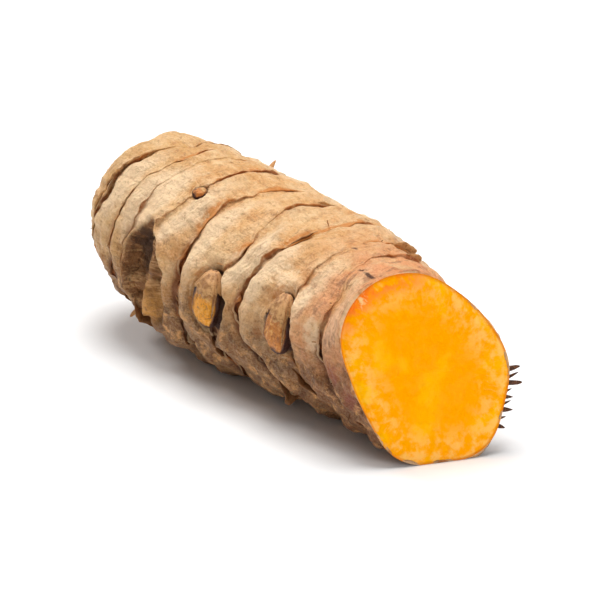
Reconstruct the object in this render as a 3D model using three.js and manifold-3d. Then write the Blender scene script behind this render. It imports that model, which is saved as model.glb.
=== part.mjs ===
// Turmeric root: one short finger of fresh turmeric, a rhizome grown as a single piece.
// Millimetres, +Z up. It lies along X, with its rounded tip at -X and its cut end at +X.
// Leaf-scar rings, buds and lifted scale edges are raised from the body by formulas,
// and short rootlet stubs are joined to it, so the whole root is one closed solid.

import * as THREE from 'three';
import { mergeVertices } from 'three/addons/utils/BufferGeometryUtils.js';
import Module from 'manifold-3d';

// Where the body starts and ends along X, before the root is centred on the origin.
const TIP_X = -39.0;
const CUT_X = 28.6;
const CUT_TILT = 21.0;
const CUT_FACING = 140.0;
const CUT_AXIS_Z = 11.6;

// The rounded tip: its length, and the power that makes it blunter than a ball.
const CAP_LENGTH = 12.0;
const CAP_POWER = 2.3;

// The middle line and the half sizes of the body: x, y, z, half width, half height.
const STATIONS = [
  [-39, -0.8, 15.5, 10.6, 9.9],
  [-28, -0.5, 14.4, 12.1, 11.7],
  [-16, 0.0, 13.1, 12.9, 12.7],
  [-4, 0.5, 12.1, 12.5, 12.3],
  [8, 0.4, 11.7, 11.9, 11.9],
  [20, 0.0, 11.5, 11.4, 11.6],
  [34, 0.0, 11.5, 11.3, 11.6],
];

// Angles run round the body from +Y (0) over the top (90) to -Y (180) and under it (270).
// Radius of the cut end, every 30 degrees, as a share of the round body's radius.
const CUT_SECTION = [0.89, 0.85, 0.9, 1.05, 1.12, 1.07, 0.9, 0.89, 1.03, 1.01, 1.02, 0.9];
const SECTION_FROM_X = 2.0;
const SECTION_TO_X = 26.0;

// Wide swellings and hollows of the body: place, reach along X and round it, height.
const SWELLS = [
  { x: 9.0, angle: 58, along: 9.0, round: 36, height: 1.3 },
  { x: 12.5, angle: 236, along: 9.5, round: 32, height: -1.6 },
  { x: -15.0, angle: 232, along: 6.0, round: 26, height: 0.5 },
  { x: -31.0, angle: 330, along: 7.0, round: 40, height: -0.5 },
  { x: 1.0, angle: 20, along: 8.0, round: 34, height: 0.6 },
];

// Leaf-scar rings from the tip to the cut. Each crosses the body at these x, every
// 45 degrees; strength scales the groove and the lip.
const RINGS = [
  { strength: 0.7, x: [-37.4, -37.5, -37.6, -37.8, -37.9, -37.8, -37.6, -37.5] },
  { strength: 0.9, x: [-33.6, -33.0, -33.1, -34.4, -35.3, -35.6, -35.1, -34.2] },
  { strength: 1.1, x: [-28.6, -27.0, -26.2, -29.4, -31.6, -32.3, -31.4, -30.0] },
  { strength: 0.9, x: [-23.8, -22.2, -21.4, -24.5, -26.4, -26.9, -26.0, -24.8] },
  { strength: 0.8, x: [-19.4, -17.8, -18.7, -21.5, -23.0, -23.8, -22.4, -20.8] },
  { strength: 1.0, x: [-15.4, -14.8, -13.7, -14.9, -17.8, -18.6, -17.8, -16.6] },
  { strength: 1.0, x: [-7.6, -5.6, -7.7, -10.2, -11.2, -10.7, -10.0, -9.2] },
  { strength: 1.0, x: [-0.8, 0.6, -1.8, -0.9, -3.6, -2.8, -2.0, -1.4] },
  { strength: 1.3, x: [7.2, 7.8, 7.4, 3.5, 1.8, 9.6, 9.0, 8.2] },
  { strength: 0.9, x: [13.8, 13.6, 13.9, 12.6, 11.6, 16.4, 15.6, 14.6] },
  { strength: 1.0, x: [19.6, 18.0, 17.4, 19.8, 18.8, 23.0, 22.0, 20.8] },
];

// Relief across one band between two rings: share of the way along it, height in mm.
// It starts in the groove under one scale edge and ends on the lip of the next.
const LIP_AT = 0.985;
const BAND = [
  [0, -0.42],
  [0.08, -0.3],
  [0.24, 0.16],
  [0.48, 0.3],
  [0.74, 0.16],
  [0.9, 0.12],
  [LIP_AT, 0.42],
];
const TIP_STRENGTH = 0.4;

// Buds and bud scars: place, half length along X, half height round the body, how far
// the middle stands out, depth of the moat, and how far the ring behind bends round it.
const BUDS = [
  { x: -17.6, angle: 184, along: 4.3, round: 6.2, rise: -0.9, moat: -0.45, bends: 5, bend: 3.4, spread: 34 },
  { x: -3.8, angle: 174, along: 2.9, round: 4.4, rise: 1.3, moat: 0.75, bends: 7, bend: 3.2, spread: 20 },
  { x: 11.0, angle: 166, along: 2.7, round: 4.6, rise: 1.2, moat: 0.7, bends: 9, bend: 0.8, spread: 20 },
  { x: -25.6, angle: 6, along: 3.0, round: 4.2, rise: 1.1, moat: 0.6, bends: 3, bend: 3.0, spread: 22 },
  { x: -7.8, angle: 356, along: 3.4, round: 4.8, rise: 1.5, moat: 0.7, bends: 6, bend: 2.8, spread: 24 },
  { x: 6.8, angle: 10, along: 2.8, round: 4.0, rise: 1.0, moat: 0.6, bends: 8, bend: 2.4, spread: 22 },
  { x: -14.0, angle: 119, along: 1.2, round: 1.1, rise: 0.4, moat: 0.3, bends: 5, bend: 0, spread: 10 },
];

// Places where a dry scale edge stands off the ring: ring, angle, height, spread.
const LIFTS = [
  { ring: 8, angle: 226, height: 0.6, spread: 11 },
  { ring: 10, angle: 62, height: 0.6, spread: 9 },
  { ring: 2, angle: 138, height: 0.45, spread: 26 },
  { ring: 5, angle: 205, height: 0.5, spread: 12 },
  { ring: 6, angle: 320, height: 0.5, spread: 14 },
];

// Rings that run through a wide valley on the two sides with buds: ring, depth.
const VALLEYS = [[3, 0.35], [4, 0.5], [5, 0.4], [6, 1.0], [7, 0.6], [8, 1.1], [9, 0.5], [10, 0.8]];

// Rootlet stubs: x, angle, length that shows, radius at the foot.
const STUBS = [
  [31.0, 352, 1.4, 0.5],
  [31.3, 343, 1.7, 0.5],
  [31.5, 333, 1.1, 0.45],
  [31.7, 324, 1.4, 0.5],
  [31.8, 314, 1.2, 0.45],
  [15.4, 318, 1.2, 0.5],
  [1.4, 30, 1.0, 0.5],
  [-9.0, 312, 1.2, 0.5],
  [-21.0, 40, 1.1, 0.5],
  [-24.4, 226, 1.0, 0.5],
  [-34.0, 250, 1.3, 0.5],
  [-35.0, 20, 1.1, 0.45],
];
const STUB_ROOT = 1.6;
const STUB_TAPER = 0.62;
const STUB_SIDES = 5;

// The small bud at the very tip: how far it stands out, how wide and how deep it is.
const TIP_BUD = 1.1;
const TIP_BUD_RADIUS = 3.4;
const TIP_BUD_DEPTH = 6.0;
const CALM_TIP = 1.2;

// The flat spot underneath is at z = 0. These centre the finished root on the origin.
const CENTRE_X = -3.6;
const CENTRE_Y = 0.718;

// Mean radius of the body, for sizes measured round it.
const MEAN_RADIUS = 12.4;

// How finely the body is faceted.
const ROUND_STEPS = 56;
const BAND_STEPS = [0, 0.1, 0.28, 0.56, 0.86, LIP_AT];
const TIP_STEPS = [0.3, 0.6, 0.86, LIP_AT];
const LAST_BAND_STEPS = [0, 0.1, 0.3, 0.62];

const rad = (degrees) => (degrees * Math.PI) / 180;

// Smooth curve through rows of [x, value...]: one value column at x.
function along(rows, column, x) {
  const last = rows.length - 1;
  let i = 0;
  while (i < last - 1 && x > rows[i + 1][0]) i += 1;
  const slope = (k) => {
    const a = Math.max(k - 1, 0);
    const b = Math.min(k + 1, last);
    return (rows[b][column] - rows[a][column]) / (rows[b][0] - rows[a][0]);
  };
  const step = rows[i + 1][0] - rows[i][0];
  const t = (x - rows[i][0]) / step;
  const late = 3 * t ** 2 - 2 * t ** 3;
  const heights = (1 - late) * rows[i][column] + late * rows[i + 1][column];
  const slopes = (t ** 3 - 2 * t ** 2 + t) * slope(i) + (t ** 3 - t ** 2) * slope(i + 1);
  return heights + step * slopes;
}

// Smooth closed curve through values at equal steps round the body.
function around(values, degrees) {
  const n = values.length;
  const turn = (((degrees % 360) + 360) % 360) / (360 / n);
  const i = Math.floor(turn);
  const t = turn - i;
  const [a, b, c, d] = [-1, 0, 1, 2].map((k) => values[(i + k + n) % n]);
  return b + 0.5 * t * (c - a + t * (2 * a - 5 * b + 4 * c - d + t * (3 * (b - c) + d - a)));
}

const smooth = (from, to, x) => THREE.MathUtils.smoothstep(x, from, to);
const turnGap = (a, b) => ((((a - b) % 360) + 540) % 360) - 180;
const bump = (gap, spread) => Math.exp(-((gap / spread) ** 2));
const wave = (times, angle, start) => Math.sin(rad(times * angle + start));

// The body without relief: its surface point at x and angle.
function bodyPoint(x, angle) {
  const into = THREE.MathUtils.clamp((TIP_X + CAP_LENGTH - x) / CAP_LENGTH, 0, 1);
  const cap = Math.sqrt(Math.max(1 - into ** CAP_POWER, 0));
  const share = 1 + (around(CUT_SECTION, angle) - 1) * smooth(SECTION_FROM_X, SECTION_TO_X, x);
  const [y, z, width, height] = [1, 2, 3, 4].map((column) => along(STATIONS, column, x));
  let swell = 0;
  for (const lump of SWELLS) {
    swell += lump.height * bump(x - lump.x, lump.along) * bump(turnGap(angle, lump.angle), lump.round);
  }
  const c = Math.cos(rad(angle)) * (width * share + swell) * cap;
  const s = Math.sin(rad(angle)) * (height * share + swell) * cap;
  return new THREE.Vector3(x, y + c, z + s);
}

function bodyNormal(x, angle) {
  const near = Math.max(x, TIP_X + 0.02);
  const lengthwise = bodyPoint(near + 0.01, angle).sub(bodyPoint(near - 0.01, angle));
  const crosswise = bodyPoint(near, angle + 0.1).sub(bodyPoint(near, angle - 0.1));
  return crosswise.cross(lengthwise).normalize();
}

// Where ring k crosses the body at an angle, bent round the buds that it passes.
function ringX(k, angle) {
  let x = around(RINGS[k].x, angle);
  for (const bud of BUDS) {
    if (bud.bends === k) x -= bud.bend * bump(turnGap(angle, bud.angle), bud.spread);
  }
  return x;
}

// The cut is a plane, so its x depends on the point's y and z.
function cutX(y, z) {
  const sideways = y * Math.cos(rad(CUT_FACING));
  const upwards = (z - CUT_AXIS_Z) * Math.sin(rad(CUT_FACING));
  return CUT_X - Math.tan(rad(CUT_TILT)) * (sideways + upwards);
}

function cutXAt(angle) {
  let x = CUT_X;
  for (let pass = 0; pass < 6; pass += 1) {
    const p = bodyPoint(x, angle);
    x = cutX(p.y, p.z);
  }
  return x;
}

// Height of the band relief at share f of band k, which starts at ring k - 1.
function bandRelief(k, f, angle) {
  const behind = k > 0 ? RINGS[k - 1].strength : TIP_STRENGTH;
  const ahead = k < RINGS.length ? RINGS[k].strength : 0;
  const wander = 1 + 0.25 * wave(3, angle, 75 * k) + 0.15 * wave(7, angle, 40 * k);
  const strength = (behind + (ahead - behind) * smooth(0.3, 0.8, f)) * wander;
  let height = along(BAND, 1, Math.min(f, LIP_AT)) * strength;
  for (const lift of LIFTS) {
    const share = lift.ring === k ? bump(turnGap(angle, lift.angle), lift.spread) : 0;
    height += lift.height * share * smooth(0.7, 0.97, f);
  }
  return height;
}

// Depth of the valleys just past some rings, and the swelling that follows each.
function valleys(x, angle) {
  const share = Math.max(bump(turnGap(angle, 178), 42), bump(turnGap(angle, 358), 42));
  let height = 0;
  for (const [k, depth] of VALLEYS) {
    const past = x - ringX(k, angle);
    height += depth * (0.35 * bump(past - 3.4, 1.5) - bump(past - 0.4, 1.1));
  }
  return height * share;
}

// Height of the buds at a place, and how much of the ring relief is left there.
// The moat round a bud is deeper on the side of the cut.
function budRelief(x, angle) {
  let height = 0;
  let left = 1;
  for (const bud of BUDS) {
    const lengthwise = (x - bud.x) / bud.along;
    const arc = rad(turnGap(angle, bud.angle)) * MEAN_RADIUS;
    const q = Math.hypot(lengthwise, arc / bud.round);
    const moat = bud.moat * (1 + (0.5 * lengthwise) / Math.max(q, 0.1));
    height += bud.rise * (1 - smooth(0.25, 0.95, q)) - moat * bump(q - 1.02, 0.2);
    left *= smooth(0.7, 1.25, q);
  }
  return { height, left };
}

// One point of the finished skin: a share f of band k, at an angle.
function skinPoint(k, f, angle) {
  const from = k > 0 ? ringX(k - 1, angle) : TIP_X;
  const to = k < RINGS.length ? ringX(k, angle) : cutXAt(angle);
  const reach = k > 0 ? f : 1 - Math.cos((f * Math.PI) / 2);
  const x = from + (to - from) * reach;
  const buds = budRelief(x, angle);
  const calm = smooth(TIP_X, TIP_X + CALM_TIP, x);
  const rings = bandRelief(k, f, angle) + valleys(x, angle);
  const height = (rings * buds.left + buds.height) * calm;
  const p = bodyPoint(x, angle).addScaledVector(bodyNormal(x, angle), height);
  p.x -= tipBud(p);
  p.z = Math.max(p.z, 0);
  return p;
}

function tipBud(p) {
  const [, y, z] = STATIONS[0];
  const fade = 1 - smooth(TIP_X, TIP_X + TIP_BUD_DEPTH, p.x);
  return TIP_BUD * bump(Math.hypot(p.y - y, p.z - z), TIP_BUD_RADIUS) * fade;
}

// The last row of the skin lies exactly on the cut plane.
function rimPoint(angle) {
  const p = bodyPoint(cutXAt(angle), angle);
  p.z = Math.max(p.z, 0);
  p.x = cutX(p.y, p.z);
  return p;
}

function bodyMesh() {
  const points = [];
  const faces = [];
  const addRow = (pointAt) => {
    for (let j = 0; j < ROUND_STEPS; j += 1) points.push(pointAt((360 * j) / ROUND_STEPS));
  };
  points.push(skinPoint(0, 0, 0));
  for (let k = 0; k <= RINGS.length; k += 1) {
    let steps = BAND_STEPS;
    if (k === 0) steps = TIP_STEPS;
    if (k === RINGS.length) steps = LAST_BAND_STEPS;
    for (const f of steps) addRow((angle) => skinPoint(k, f, angle));
  }
  addRow(rimPoint);
  const rows = (points.length - 1) / ROUND_STEPS;
  const middle = points.length;
  points.push(new THREE.Vector3(CUT_X, 0, CUT_AXIS_Z));
  const at = (row, j) => 1 + row * ROUND_STEPS + (j % ROUND_STEPS);
  for (let j = 0; j < ROUND_STEPS; j += 1) {
    faces.push(0, at(0, j + 1), at(0, j));
    for (let row = 0; row < rows - 1; row += 1) {
      faces.push(at(row, j), at(row + 1, j + 1), at(row + 1, j));
      faces.push(at(row, j), at(row, j + 1), at(row + 1, j + 1));
    }
    faces.push(middle, at(rows - 1, j), at(rows - 1, j + 1));
  }
  const shift = new THREE.Vector3(-CENTRE_X, -CENTRE_Y, 0);
  return { points: points.map((p) => p.clone().add(shift)), faces };
}

// A rootlet stub: a thin tapered peg whose foot is sunk in the body.
function stubMesh([x, angle, length, radius]) {
  const foot = bodyPoint(x, angle);
  const normal = bodyNormal(x, angle);
  const peg = new THREE.CylinderGeometry(radius * STUB_TAPER, radius, length + STUB_ROOT, STUB_SIDES);
  const turn = new THREE.Quaternion().setFromUnitVectors(new THREE.Vector3(0, 1, 0), normal);
  peg.applyQuaternion(turn);
  const middle = foot.addScaledVector(normal, (length - STUB_ROOT) / 2);
  peg.translate(middle.x - CENTRE_X, middle.y - CENTRE_Y, middle.z);
  return peg;
}

const wasm = await Module();
wasm.setup();

function solidFrom(points, faces) {
  const vertProperties = new Float32Array(points.flatMap((p) => [p.x, p.y, p.z]));
  const triVerts = new Uint32Array(faces);
  return new wasm.Manifold(new wasm.Mesh({ numProp: 3, vertProperties, triVerts }));
}

function solidFromGeometry(geometry) {
  const bare = geometry.clone();
  bare.deleteAttribute('normal');
  bare.deleteAttribute('uv');
  const merged = mergeVertices(bare);
  const place = merged.getAttribute('position');
  const points = [];
  for (let i = 0; i < place.count; i += 1) points.push(new THREE.Vector3().fromBufferAttribute(place, i));
  return solidFrom(points, [...merged.index.array]);
}

function turmericRhizome() {
  const body = bodyMesh();
  let solid = solidFrom(body.points, body.faces);
  for (const stub of STUBS) solid = solid.add(solidFromGeometry(stubMesh(stub)));
  const mesh = solid.getMesh();
  const geometry = new THREE.BufferGeometry();
  geometry.setAttribute('position', new THREE.BufferAttribute(mesh.vertProperties, 3));
  geometry.setIndex(new THREE.BufferAttribute(mesh.triVerts, 1));
  const skin = new THREE.MeshStandardMaterial({ color: 0xd9b48a, roughness: 0.62, metalness: 0 });
  const root = new THREE.Mesh(geometry, skin);
  root.name = 'turmeric_rhizome';
  return root;
}

const group = new THREE.Group();
group.add(turmericRhizome());

export default group;
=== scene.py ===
"""Turmeric root: a short finger of fresh turmeric with one cut end, dressed round its frame.

Sizes in the shape functions are millimetres, in the same places as the solid's: X along the
root towards the cut, Z up. Angles run round the body from +Y (0) over the top (90) to -Y
(180) and under it (270). MM turns them into metres when a mesh is made.
"""
import math
from collections import namedtuple

import bpy
import numpy as np
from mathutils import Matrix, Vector


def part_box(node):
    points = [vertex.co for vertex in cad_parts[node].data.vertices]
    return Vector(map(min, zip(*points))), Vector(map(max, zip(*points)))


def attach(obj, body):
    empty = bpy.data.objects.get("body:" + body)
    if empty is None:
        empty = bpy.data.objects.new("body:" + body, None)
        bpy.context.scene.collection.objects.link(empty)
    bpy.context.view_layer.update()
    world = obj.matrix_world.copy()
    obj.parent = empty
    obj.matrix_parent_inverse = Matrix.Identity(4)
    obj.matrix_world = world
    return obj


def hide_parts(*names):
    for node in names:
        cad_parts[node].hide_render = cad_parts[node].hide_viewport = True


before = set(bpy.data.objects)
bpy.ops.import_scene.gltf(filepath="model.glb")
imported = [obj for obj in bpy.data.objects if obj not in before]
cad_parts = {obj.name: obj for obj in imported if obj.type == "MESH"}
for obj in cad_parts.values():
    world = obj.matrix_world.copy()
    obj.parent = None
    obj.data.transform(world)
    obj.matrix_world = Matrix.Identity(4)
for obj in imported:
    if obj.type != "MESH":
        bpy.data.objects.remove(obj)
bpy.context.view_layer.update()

NODE = "turmeric_rhizome"
SKIN_SLOT = "turmeric_skin"
FLESH_SLOT = "turmeric_flesh"
SCALE_SLOT = "dry_scale"
ROOTLET_SLOT = "dry_rootlet"
MM = 0.001

# The body, as the solid has it.
TIP_X = -39.0
CUT_X = 28.6
CUT_TILT = 21.0
CUT_FACING = 140.0
CUT_AXIS_Z = 11.6
CAP_LENGTH = 12.0
CAP_POWER = 2.3
MEAN_RADIUS = 12.4
CENTRE = np.array([-3.6, 0.718, 0.0])

# The middle line and the half sizes of the body: x, y, z, half width, half height.
STATIONS = np.array([
    (-39, -0.8, 15.5, 10.6, 9.9),
    (-28, -0.5, 14.4, 12.1, 11.7),
    (-16, 0.0, 13.1, 12.9, 12.7),
    (-4, 0.5, 12.1, 12.5, 12.3),
    (8, 0.4, 11.7, 11.9, 11.9),
    (20, 0.0, 11.5, 11.4, 11.6),
    (34, 0.0, 11.5, 11.3, 11.6),
])

# Radius of the cut end, every 30 degrees, as a share of the round body's radius.
CUT_SECTION = [0.89, 0.85, 0.9, 1.05, 1.12, 1.07, 0.9, 0.89, 1.03, 1.01, 1.02, 0.9]
SECTION_FROM_X = 2.0
SECTION_TO_X = 26.0

# Wide swellings and hollows: x, angle, reach along X, reach round it, height.
SWELLS = [
    (9.0, 58, 9.0, 36, 1.3),
    (12.5, 236, 9.5, 32, -1.6),
    (-15.0, 232, 6.0, 26, 0.5),
    (-31.0, 330, 7.0, 40, -0.5),
    (1.0, 20, 8.0, 34, 0.6),
]

# Leaf-scar rings from the tip to the cut: strength, then x every 45 degrees.
RINGS = [
    (0.7, [-37.4, -37.5, -37.6, -37.8, -37.9, -37.8, -37.6, -37.5]),
    (0.9, [-33.6, -33.0, -33.1, -34.4, -35.3, -35.6, -35.1, -34.2]),
    (1.1, [-28.6, -27.0, -26.2, -29.4, -31.6, -32.3, -31.4, -30.0]),
    (0.9, [-23.8, -22.2, -21.4, -24.5, -26.4, -26.9, -26.0, -24.8]),
    (0.8, [-19.4, -17.8, -18.7, -21.5, -23.0, -23.8, -22.4, -20.8]),
    (1.0, [-15.4, -14.8, -13.7, -14.9, -17.8, -18.6, -17.8, -16.6]),
    (1.0, [-7.6, -5.6, -7.7, -10.2, -11.2, -10.7, -10.0, -9.2]),
    (1.0, [-0.8, 0.6, -1.8, -0.9, -3.6, -2.8, -2.0, -1.4]),
    (1.3, [7.2, 7.8, 7.4, 3.5, 1.8, 9.6, 9.0, 8.2]),
    (0.9, [13.8, 13.6, 13.9, 12.6, 11.6, 16.4, 15.6, 14.6]),
    (1.0, [19.6, 18.0, 17.4, 19.8, 18.8, 23.0, 22.0, 20.8]),
]

# Relief across one band between two rings: share of the way along it, height.
LIP_AT = 0.985
BAND = np.array([
    (0, -0.42),
    (0.06, -0.3),
    (0.2, 0.26),
    (0.42, 0.46),
    (0.7, 0.2),
    (0.9, 0.02),
    (LIP_AT, 0.16),
])
TIP_STRENGTH = 0.4

# Buds and scars: x, angle, half length along the body and half height round it, rise,
# moat, the ring that bends round it, how far, over what spread, and the kind of bud.
Bud = namedtuple("Bud", "x angle long round rise moat ring bend spread kind")
BUDS = [Bud(*row) for row in [
    (-17.8, 182, 5.0, 7.2, -0.9, -0.5, 5, 3.4, 34, "scar"),
    (-3.8, 174, 2.9, 4.4, 1.3, 0.85, 7, 3.2, 20, "amber"),
    (11.0, 166, 2.7, 4.6, 1.2, 0.8, 9, 0.8, 20, "brown"),
    (-25.6, 6, 3.0, 4.2, 1.1, 0.6, 3, 3.0, 22, "amber"),
    (-7.8, 356, 3.4, 4.8, 1.5, 0.7, 6, 2.8, 24, "brown"),
    (6.8, 10, 2.8, 4.0, 1.0, 0.6, 8, 2.4, 22, "amber"),
    (-14.0, 119, 1.2, 1.1, 0.4, 0.3, 5, 0, 10, "brown"),
]]
SCAR = BUDS[0]

# How much narrower a bud gets towards its top.
BUD_POINT = 0.35

# Places where a dry scale edge stands off a ring: ring, angle, height, spread.
LIFTS = [
    (8, 226, 0.6, 11),
    (10, 62, 0.6, 9),
    (2, 138, 0.45, 26),
    (5, 205, 0.5, 12),
    (6, 320, 0.5, 14),
]

# Stretches where a ring is worn away: ring, angle, spread round the body, share gone.
WORN = [
    (2, 95, 35, 0.4),
    (4, 108, 30, 0.55),
    (9, 108, 38, 0.75),
    (10, 112, 45, 0.8),
]

# The small bud at the very tip, and the length over which relief starts there.
TIP_BUD = 1.1
TIP_BUD_RADIUS = 3.4
TIP_BUD_DEPTH = 6.0
CALM_TIP = 1.2


# Curves and noise

def along(rows, column, x):
    """Smooth curve through rows of (x, value...): one value column at x."""
    xs, ys = rows[:, 0], rows[:, column]
    slope = np.gradient(ys, xs)
    slope[1:-1] = (ys[2:] - ys[:-2]) / (xs[2:] - xs[:-2])
    i = np.clip(np.searchsorted(xs, x) - 1, 0, len(xs) - 2)
    step = xs[i + 1] - xs[i]
    t = (x - xs[i]) / step
    late = 3 * t**2 - 2 * t**3
    slopes = (t**3 - 2 * t**2 + t) * slope[i] + (t**3 - t**2) * slope[i + 1]
    return (1 - late) * ys[i] + late * ys[i + 1] + step * slopes


def around(values, degrees):
    """Smooth closed curve through values at equal steps round the body."""
    v = np.asarray(values, float)
    turn = (degrees % 360) / (360 / len(v))
    i = np.floor(turn).astype(int)
    t = turn - i
    a, b, c, d = (v[(i + k) % len(v)] for k in (-1, 0, 1, 2))
    return b + 0.5 * t * (c - a + t * (2 * a - 5 * b + 4 * c - d + t * (3 * (b - c) + d - a)))


def smooth(low, high, x):
    """Smooth step from 0 at low to 1 at high."""
    t = np.clip((x - low) / (high - low), 0, 1)
    return t * t * (3 - 2 * t)


def turn_gap(a, b):
    """Degrees from b to a, the short way round."""
    return ((a - b) % 360 + 540) % 360 - 180


def bump(gap, spread):
    return np.exp(-(gap / spread)**2)


def round_bump(angle, at, spread):
    """1 at one place round the body, fading over a spread of degrees."""
    return bump(turn_gap(angle, at), spread)


def on_sides(angle, sides):
    """1 in the middle of each stretch round the body, given as its middle and spread."""
    return np.maximum(*(round_bump(angle, at, spread) for at, spread in sides))


def lattice(cells, seed):
    """Repeatable random number from -1 to 1 for whole-number cells."""
    n = cells.astype(np.int64)
    h = n[..., 0] * 374761393 + n[..., 1] * 668265263 + n[..., 2] * 2147483647 + seed * 1274126177
    h = (h ^ (h >> 13)) * 1274126177 & 0x7FFFFFFF
    h = (h ^ (h >> 16)) * 668265263 & 0x7FFFFFFF
    return (h ^ (h >> 15)) % 65536 / 32768.0 - 1.0


def noise3(points, size, seed):
    """Smooth noise from about -1 to 1 at points; size is one number or one for each axis."""
    scaled = points / np.asarray(size, float)
    base = np.floor(scaled)
    share = scaled - base
    share = share * share * share * (share * (6 * share - 15) + 10)
    value = 0.0
    for corner in range(8):
        offset = np.array([corner & 1, corner >> 1 & 1, corner >> 2 & 1])
        weight = np.prod(np.where(offset, share, 1 - share), axis=-1)
        value = value + weight * lattice(base + offset, seed)
    return value


# The body and its relief

def body(x, angle):
    """The body's surface without relief."""
    into = np.clip((TIP_X + CAP_LENGTH - x) / CAP_LENGTH, 0, 1)
    cap = np.sqrt(np.maximum(1 - into**CAP_POWER, 0))
    share = 1 + (around(CUT_SECTION, angle) - 1) * smooth(SECTION_FROM_X, SECTION_TO_X, x)
    y, z, width, height = (along(STATIONS, column, x) for column in (1, 2, 3, 4))
    swell = sum(up * bump(x - at_x, reach) * round_bump(angle, at, spread)
                for at_x, at, reach, spread, up in SWELLS)
    turn = np.radians(angle)
    return np.stack([x + 0 * turn, y + np.cos(turn) * (width * share + swell) * cap,
                     z + np.sin(turn) * (height * share + swell) * cap], -1)


def one_place(x, angle):
    """A single x and angle, as the arrays that the body's functions take."""
    return np.array([float(x)]), np.array([float(angle)])


def body_normal(x, angle):
    """Outward unit normal of the body, from places just beside this one."""
    near = np.maximum(x, TIP_X + 0.02)
    lengthwise = body(near + 0.01, angle) - body(near - 0.01, angle)
    crosswise = body(near, angle + 0.1) - body(near, angle - 0.1)
    normal = np.cross(crosswise, lengthwise)
    return normal / np.linalg.norm(normal, axis=-1, keepdims=True)


def ring_x(k, angle):
    """Where ring k crosses the body, bent round the buds that it passes."""
    x = around(RINGS[k][1], angle)
    for bud in BUDS:
        if bud.ring == k:
            x = x - bud.bend * round_bump(angle, bud.angle, bud.spread)
    return x


def cut_x(y, z):
    """X of the tilted cut at a height and a side."""
    facing = np.radians(CUT_FACING)
    reach = y * np.cos(facing) + (z - CUT_AXIS_Z) * np.sin(facing)
    return CUT_X - math.tan(math.radians(CUT_TILT)) * reach


def cut_x_at(angle):
    """Where the cut crosses the body, closed in on step by step."""
    x = np.full_like(angle, CUT_X)
    for _ in range(6):
        place = body(x, angle)
        x = cut_x(place[..., 1], place[..., 2])
    return x


def wear(k, angle):
    """How fresh ring k is at each angle: near 0 where its edge is worn away."""
    if not 0 <= k < len(RINGS):
        return 1.0
    place = body(ring_x(k, angle), angle)
    fresh = 0.8 + 0.75 * noise3(place, 6.0, 200 + k) + 0.45 * noise3(place, 1.7, 220 + k)
    for ring, at, spread, gone in WORN:
        if ring == k:
            fresh = fresh * (1 - gone * round_bump(angle, at, spread))
    return np.clip(fresh, 0.08, 1.4)


def band_relief(k, f, angle):
    """Height of the relief at share f of band k, which starts at ring k - 1."""
    behind = RINGS[k - 1][0] if k > 0 else TIP_STRENGTH
    ahead = RINGS[k][0] if k < len(RINGS) else 0.0
    behind = behind * wear(k - 1, angle)
    ahead = ahead * wear(k, angle)
    strength = behind + (ahead - behind) * smooth(0.3, 0.8, f)
    height = along(BAND, 1, np.minimum(f, LIP_AT)) * strength
    for ring, at, up, spread in LIFTS:
        if ring == k:
            height = height + up * round_bump(angle, at, spread) * smooth(0.7, 0.97, f)
    return height


def bud_reach(bud, x, angle):
    """How far out from a bud's middle a place is (1 at its edge), and its side to the cut."""
    up = np.radians(turn_gap(bud.angle, angle)) * MEAN_RADIUS / bud.round
    lengthwise = (x - bud.x) / bud.long
    pointed = 1 - BUD_POINT * smooth(0.0, 1.2, up)
    q = np.hypot(lengthwise / pointed, up)
    return q, lengthwise / np.maximum(q, 0.1)


def bud_relief(x, angle):
    """Height of the buds, and how much of the ring relief is left there."""
    height, left = 0.0, 1.0
    for bud in BUDS:
        q, side = bud_reach(bud, x, angle)
        if bud is SCAR:
            height = height + scar_relief(x, angle)
        else:
            swelling = 0.2 * bud.rise * (1 - smooth(0.25, 0.95, q))
            moat = bud.moat * (1 + side) * bump(q - 0.92, 0.27)
            rim = 0.3 * bump(q - 1.4, 0.2) * (0.6 + 0.4 * side)
            height = height + swelling - moat + rim
        left = left * smooth(0.7, 1.25, q)
    return height, left


def scar_place(x, angle):
    """Where a place is in the scar: along it, up it, its ragged reach and its side."""
    q, side = bud_reach(SCAR, x, angle)
    up = np.radians(turn_gap(SCAR.angle, angle)) * MEAN_RADIUS / SCAR.round
    return (x - SCAR.x) / SCAR.long, up, q + 0.1 * noise3(body(x, angle), 1.6, 35), side


def scar_relief(x, angle):
    """A corky hollow with a raised rim, a pit near its top and a lump near its foot."""
    lengthwise, up, ragged, side = scar_place(x, angle)
    place = body(x, angle)
    inside = 1 - smooth(0.7, 0.95, ragged)
    height = SCAR.rise * (1.15 - 0.35 * side) * (1 - smooth(0.78, 0.93, ragged))
    rim = 0.7 * bump(ragged - 1.03, 0.1) * (0.8 - 0.2 * side)
    pit = 0.8 * bump(np.hypot(lengthwise + 0.34, (up - 0.3) / 1.3), 0.4)
    lump = 1.5 * bump(np.hypot((lengthwise - 0.22) / 1.1, up + 0.52), 0.3)
    fold = 0.9 * bump(lengthwise - 0.3 - 0.25 * up, 0.09) * inside
    groove = 0.5 * bump(ragged - 0.9, 0.06) * smooth(0.1, 0.6, side)
    cork = (0.5 * noise3(place, 1.7, 31) + 0.4 * noise3(place, 0.8, 32)) * inside
    return height + rim - pit + lump + fold - groove + cork


# The fine skin: its rows follow the rings, and each scale edge hangs over the next band.
COLUMNS = 288
COLUMN_CROWDING = 0.45
ROWS_EACH = 6
ROWS_PER_MM = 3.6
END_CROWDING = 0.55
EDGE_THICK = 0.16
UNDERCUT = 0.16
CREVICE_WIDE = 0.5
LIP_WIDE = 0.7

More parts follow.
